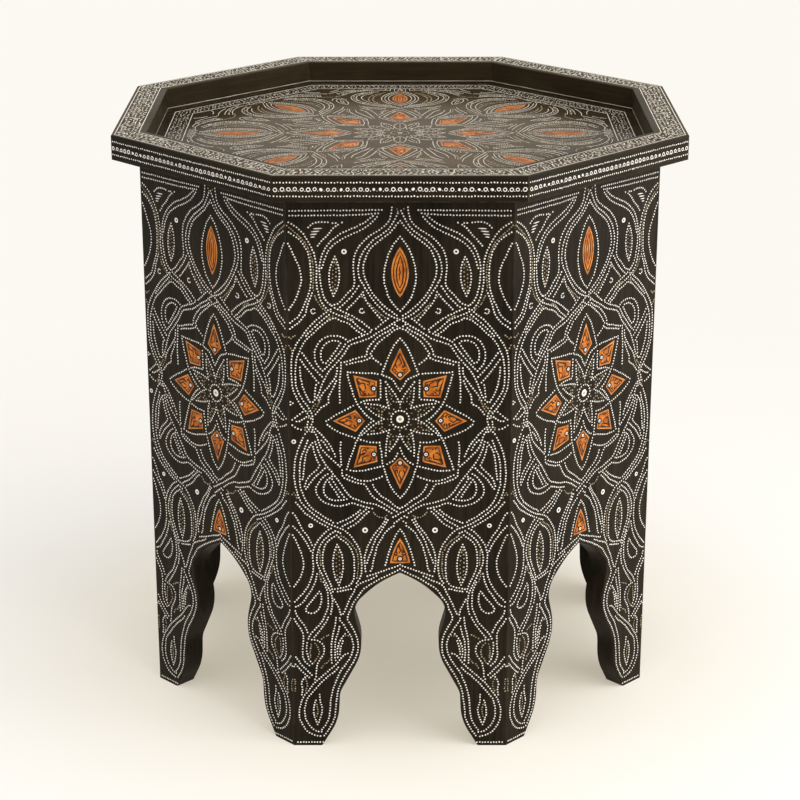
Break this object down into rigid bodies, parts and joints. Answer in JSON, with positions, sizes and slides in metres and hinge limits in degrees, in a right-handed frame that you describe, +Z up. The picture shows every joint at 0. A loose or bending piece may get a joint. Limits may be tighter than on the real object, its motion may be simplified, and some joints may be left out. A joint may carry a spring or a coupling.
{
  "type": "moroccan kursi stool",
  "caption": "Octagonal tray-topped wooden stool with ogee-arched sides, dark wood with bone inlay and a raised overhanging rim.",
  "frame": {"origin": "on the ground under the middle of the stool", "axes": "+Z up along the eight-sided symmetry axis, one side panel faces -Y, +X to the right seen from there"},
  "size_m": [0.504, 0.504, 0.53],
  "materials": {
    "dark_wood": "satin",
    "tray_wood": "satin",
    "orange_bone": "satin",
    "pale_bone": "satin",
    "plain_wood": "matte",
    "nail_iron": "matte"
  },
  "bodies": {
    "root": {"side_panel_front": "dark_wood", "side_panel_front_right": "dark_wood", "side_panel_right": "dark_wood", "side_panel_back_right": "dark_wood", "side_panel_back": "dark_wood", "side_panel_back_left": "dark_wood", "side_panel_left": "dark_wood", "side_panel_front_left": "dark_wood", "rim_rail_front": "dark_wood", "rim_rail_front_right": "dark_wood", "rim_rail_right": "dark_wood", "rim_rail_back_right": "dark_wood", "rim_rail_back": "dark_wood", "rim_rail_back_left": "dark_wood", "rim_rail_left": "dark_wood", "rim_rail_front_left": "dark_wood", "tray_board_front": "tray_wood", "tray_board_mid_front": "tray_wood", "tray_board_mid_back": "tray_wood", "tray_board_back": "tray_wood", "bone_inlay_front": "orange_bone", "bone_inlay_front_right": "orange_bone", "bone_inlay_right": "orange_bone", "bone_inlay_back_right": "orange_bone", "bone_inlay_back": "orange_bone", "bone_inlay_back_left": "orange_bone", "bone_inlay_left": "orange_bone", "bone_inlay_front_left": "orange_bone", "tray_star_inlay": "orange_bone", "tray_leaf_inlay": "orange_bone", "rosette_centres": "pale_bone", "corner_block_1": "plain_wood", "corner_block_2": "plain_wood", "corner_block_3": "plain_wood", "corner_block_4": "plain_wood", "corner_block_5": "plain_wood", "corner_block_6": "plain_wood", "corner_block_7": "plain_wood", "corner_block_8": "plain_wood", "floor_cleat_front": "plain_wood", "floor_cleat_front_right": "plain_wood", "floor_cleat_right": "plain_wood", "floor_cleat_back_right": "plain_wood", "floor_cleat_back": "plain_wood", "floor_cleat_back_left": "plain_wood", "floor_cleat_left": "plain_wood", "floor_cleat_front_left": "plain_wood", "rim_tenons": "plain_wood", "cleat_nails": "nail_iron"}
  },
  "joints": []
}
